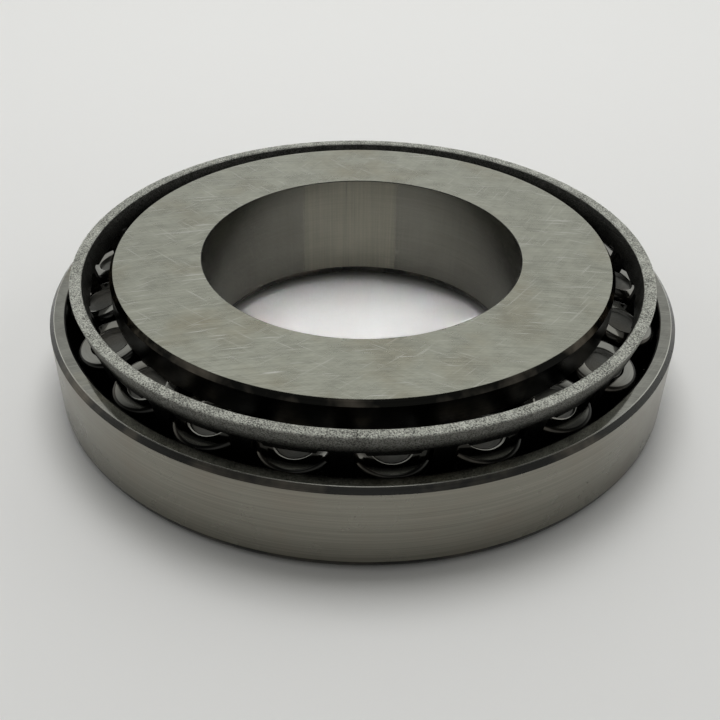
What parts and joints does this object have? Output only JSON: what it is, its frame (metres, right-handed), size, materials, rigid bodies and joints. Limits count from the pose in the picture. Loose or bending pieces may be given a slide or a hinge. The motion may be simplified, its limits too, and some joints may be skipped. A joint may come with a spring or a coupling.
{
  "type": "tapered roller bearing",
  "caption": "Single-row tapered roller bearing: a cup, a ribbed cone, a pressed steel cage and tapered rollers, taking radial and one-way axial load.",
  "frame": {"origin": "centre of the cup's back face, the face the bearing stands on", "axes": "+Z along the bearing's axis, from the cup's back face towards the cone's back face; -Y is the front as pictured"},
  "size_m": [0.088, 0.088, 0.018],
  "materials": {
    "ring_steel": "ground hardened bearing steel, satin",
    "cage_steel": "pressed steel sheet, tumbled to a matt grain",
    "roller_steel": "ground hardened bearing steel, bright, with dull recesses"
  },
  "bodies": {
    "cup": {"cup": "ring_steel"},
    "cone": {"cone": "ring_steel"},
    "cage": {"cage": "cage_steel"},
    "roller_01": {"roller_01": "roller_steel"},
    "roller_02": {"roller_02": "roller_steel"},
    "roller_03": {"roller_03": "roller_steel"},
    "roller_04": {"roller_04": "roller_steel"},
    "roller_05": {"roller_05": "roller_steel"},
    "roller_06": {"roller_06": "roller_steel"},
    "roller_07": {"roller_07": "roller_steel"},
    "roller_08": {"roller_08": "roller_steel"},
    "roller_09": {"roller_09": "roller_steel"},
    "roller_10": {"roller_10": "roller_steel"},
    "roller_11": {"roller_11": "roller_steel"},
    "roller_12": {"roller_12": "roller_steel"},
    "roller_13": {"roller_13": "roller_steel"},
    "roller_14": {"roller_14": "roller_steel"},
    "roller_15": {"roller_15": "roller_steel"},
    "roller_16": {"roller_16": "roller_steel"},
    "roller_17": {"roller_17": "roller_steel"},
    "roller_18": {"roller_18": "roller_steel"},
    "roller_19": {"roller_19": "roller_steel"},
    "roller_20": {"roller_20": "roller_steel"},
    "roller_21": {"roller_21": "roller_steel"}
  },
  "joints": [
    {"name": "cone_spin", "type": "hinge", "parent": "cup", "child": "cone", "pos_m": [0, 0, 0.009], "axis": [0, 0, 1], "continuous": true},
    {"name": "cage_spin", "type": "hinge", "parent": "cup", "child": "cage", "pos_m": [0, 0, 0.009], "axis": [0, 0, 1], "continuous": true},
    {"name": "roller_01_spin", "type": "hinge", "parent": "cage", "child": "roller_01", "pos_m": [0.00257, -0.03671, 0.01315], "axis": [0.0192, -0.275, 0.9613], "continuous": true},
    {"name": "roller_02_spin", "type": "hinge", "parent": "cage", "child": "roller_02", "pos_m": [0.01327, -0.03432, 0.01315], "axis": [0.0994, -0.2571, 0.9613], "continuous": true},
    {"name": "roller_03_spin", "type": "hinge", "parent": "cage", "child": "roller_03", "pos_m": [0.0228, -0.02889, 0.01315], "axis": [0.1708, -0.2164, 0.9613], "continuous": true},
    {"name": "roller_04_spin", "type": "hinge", "parent": "cage", "child": "roller_04", "pos_m": [0.0303, -0.02088, 0.01315], "axis": [0.227, -0.1564, 0.9613], "continuous": true},
    {"name": "roller_05_spin", "type": "hinge", "parent": "cage", "child": "roller_05", "pos_m": [0.03511, -0.01102, 0.01315], "axis": [0.263, -0.0826, 0.9613], "continuous": true},
    {"name": "roller_06_spin", "type": "hinge", "parent": "cage", "child": "roller_06", "pos_m": [0.0368, -0.00018, 0.01315], "axis": [0.2756, -0.0014, 0.9613], "continuous": true},
    {"name": "roller_07_spin", "type": "hinge", "parent": "cage", "child": "roller_07", "pos_m": [0.03522, 0.01067, 0.01315], "axis": [0.2638, 0.0799, 0.9613], "continuous": true},
    {"name": "roller_08_spin", "type": "hinge", "parent": "cage", "child": "roller_08", "pos_m": [0.03051, 0.02058, 0.01315], "axis": [0.2285, 0.1541, 0.9613], "continuous": true},
    {"name": "roller_09_spin", "type": "hinge", "parent": "cage", "child": "roller_09", "pos_m": [0.02309, 0.02866, 0.01315], "axis": [0.1729, 0.2146, 0.9613], "continuous": true},
    {"name": "roller_10_spin", "type": "hinge", "parent": "cage", "child": "roller_10", "pos_m": [0.01362, 0.03419, 0.01315], "axis": [0.102, 0.2561, 0.9613], "continuous": true},
    {"name": "roller_11_spin", "type": "hinge", "parent": "cage", "child": "roller_11", "pos_m": [0.00293, 0.03668, 0.01315], "axis": [0.022, 0.2748, 0.9613], "continuous": true},
    {"name": "roller_12_spin", "type": "hinge", "parent": "cage", "child": "roller_12", "pos_m": [-0.00801, 0.03592, 0.01315], "axis": [-0.06, 0.269, 0.9613], "continuous": true},
    {"name": "roller_13_spin", "type": "hinge", "parent": "cage", "child": "roller_13", "pos_m": [-0.01824, 0.03196, 0.01315], "axis": [-0.1366, 0.2394, 0.9613], "continuous": true},
    {"name": "roller_14_spin", "type": "hinge", "parent": "cage", "child": "roller_14", "pos_m": [-0.02685, 0.02516, 0.01315], "axis": [-0.2011, 0.1885, 0.9613], "continuous": true},
    {"name": "roller_15_spin", "type": "hinge", "parent": "cage", "child": "roller_15", "pos_m": [-0.03308, 0.01613, 0.01315], "axis": [-0.2477, 0.1208, 0.9613], "continuous": true},
    {"name": "roller_16_spin", "type": "hinge", "parent": "cage", "child": "roller_16", "pos_m": [-0.03636, 0.00567, 0.01315], "axis": [-0.2724, 0.0424, 0.9613], "continuous": true},
    {"name": "roller_17_spin", "type": "hinge", "parent": "cage", "child": "roller_17", "pos_m": [-0.03642, -0.0053, 0.01315], "axis": [-0.2728, -0.0397, 0.9613], "continuous": true},
    {"name": "roller_18_spin", "type": "hinge", "parent": "cage", "child": "roller_18", "pos_m": [-0.03323, -0.0158, 0.01315], "axis": [-0.2489, -0.1184, 0.9613], "continuous": true},
    {"name": "roller_19_spin", "type": "hinge", "parent": "cage", "child": "roller_19", "pos_m": [-0.0271, -0.0249, 0.01315], "axis": [-0.203, -0.1865, 0.9613], "continuous": true},
    {"name": "roller_20_spin", "type": "hinge", "parent": "cage", "child": "roller_20", "pos_m": [-0.01856, -0.03178, 0.01315], "axis": [-0.139, -0.238, 0.9613], "continuous": true},
    {"name": "roller_21_spin", "type": "hinge", "parent": "cage", "child": "roller_21", "pos_m": [-0.00837, -0.03584, 0.01315], "axis": [-0.0627, -0.2684, 0.9613], "continuous": true}
  ],
  "couplings": [
    {"joint": "cage_spin", "follows": "cone_spin", "ratio": 0.43606},
    {"joint": "roller_01_spin", "follows": "cone_spin", "ratio": -3.6971},
    {"joint": "roller_02_spin", "follows": "cone_spin", "ratio": -3.6971},
    {"joint": "roller_03_spin", "follows": "cone_spin", "ratio": -3.6971},
    {"joint": "roller_04_spin", "follows": "cone_spin", "ratio": -3.6971},
    {"joint": "roller_05_spin", "follows": "cone_spin", "ratio": -3.6971},
    {"joint": "roller_06_spin", "follows": "cone_spin", "ratio": -3.6971},
    {"joint": "roller_07_spin", "follows": "cone_spin", "ratio": -3.6971},
    {"joint": "roller_08_spin", "follows": "cone_spin", "ratio": -3.6971},
    {"joint": "roller_09_spin", "follows": "cone_spin", "ratio": -3.6971},
    {"joint": "roller_10_spin", "follows": "cone_spin", "ratio": -3.6971},
    {"joint": "roller_11_spin", "follows": "cone_spin", "ratio": -3.6971},
    {"joint": "roller_12_spin", "follows": "cone_spin", "ratio": -3.6971},
    {"joint": "roller_13_spin", "follows": "cone_spin", "ratio": -3.6971},
    {"joint": "roller_14_spin", "follows": "cone_spin", "ratio": -3.6971},
    {"joint": "roller_15_spin", "follows": "cone_spin", "ratio": -3.6971},
    {"joint": "roller_16_spin", "follows": "cone_spin", "ratio": -3.6971},
    {"joint": "roller_17_spin", "follows": "cone_spin", "ratio": -3.6971},
    {"joint": "roller_18_spin", "follows": "cone_spin", "ratio": -3.6971},
    {"joint": "roller_19_spin", "follows": "cone_spin", "ratio": -3.6971},
    {"joint": "roller_20_spin", "follows": "cone_spin", "ratio": -3.6971},
    {"joint": "roller_21_spin", "follows": "cone_spin", "ratio": -3.6971}
  ]
}
